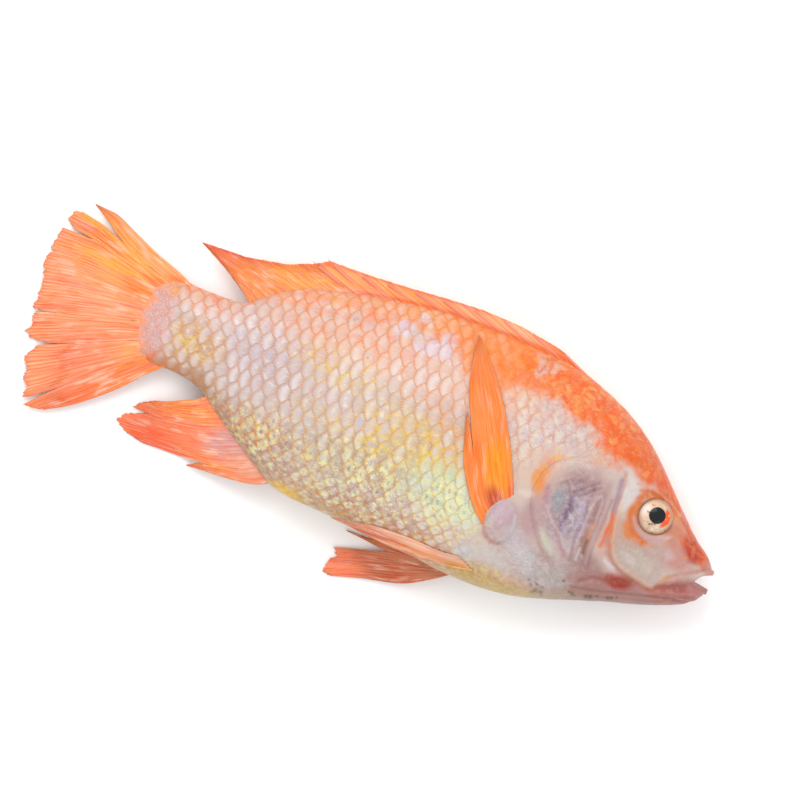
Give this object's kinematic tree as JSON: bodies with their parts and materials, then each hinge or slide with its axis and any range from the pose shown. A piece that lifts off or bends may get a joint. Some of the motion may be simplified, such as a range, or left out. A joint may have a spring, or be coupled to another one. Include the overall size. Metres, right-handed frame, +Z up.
{
  "type": "whole raw fish",
  "caption": "Whole raw red tilapia lying on its left side, with fanned tail, folded fins, parted lips and round eyes.",
  "frame": {"origin": "centre of the outline seen from above, on the surface the fish lies on", "axes": "+X from tail fin to snout, +Y from belly to back, +Z up through the fish's right side"},
  "size_m": [0.3041, 0.1256, 0.046],
  "materials": {
    "fish_skin": "wet scaled skin, orange and pink",
    "fish_eye": "wet and glossy"
  },
  "bodies": {
    "root": {"fish": "fish_skin", "eye_right": "fish_eye", "eye_left": "fish_eye"}
  },
  "joints": []
}
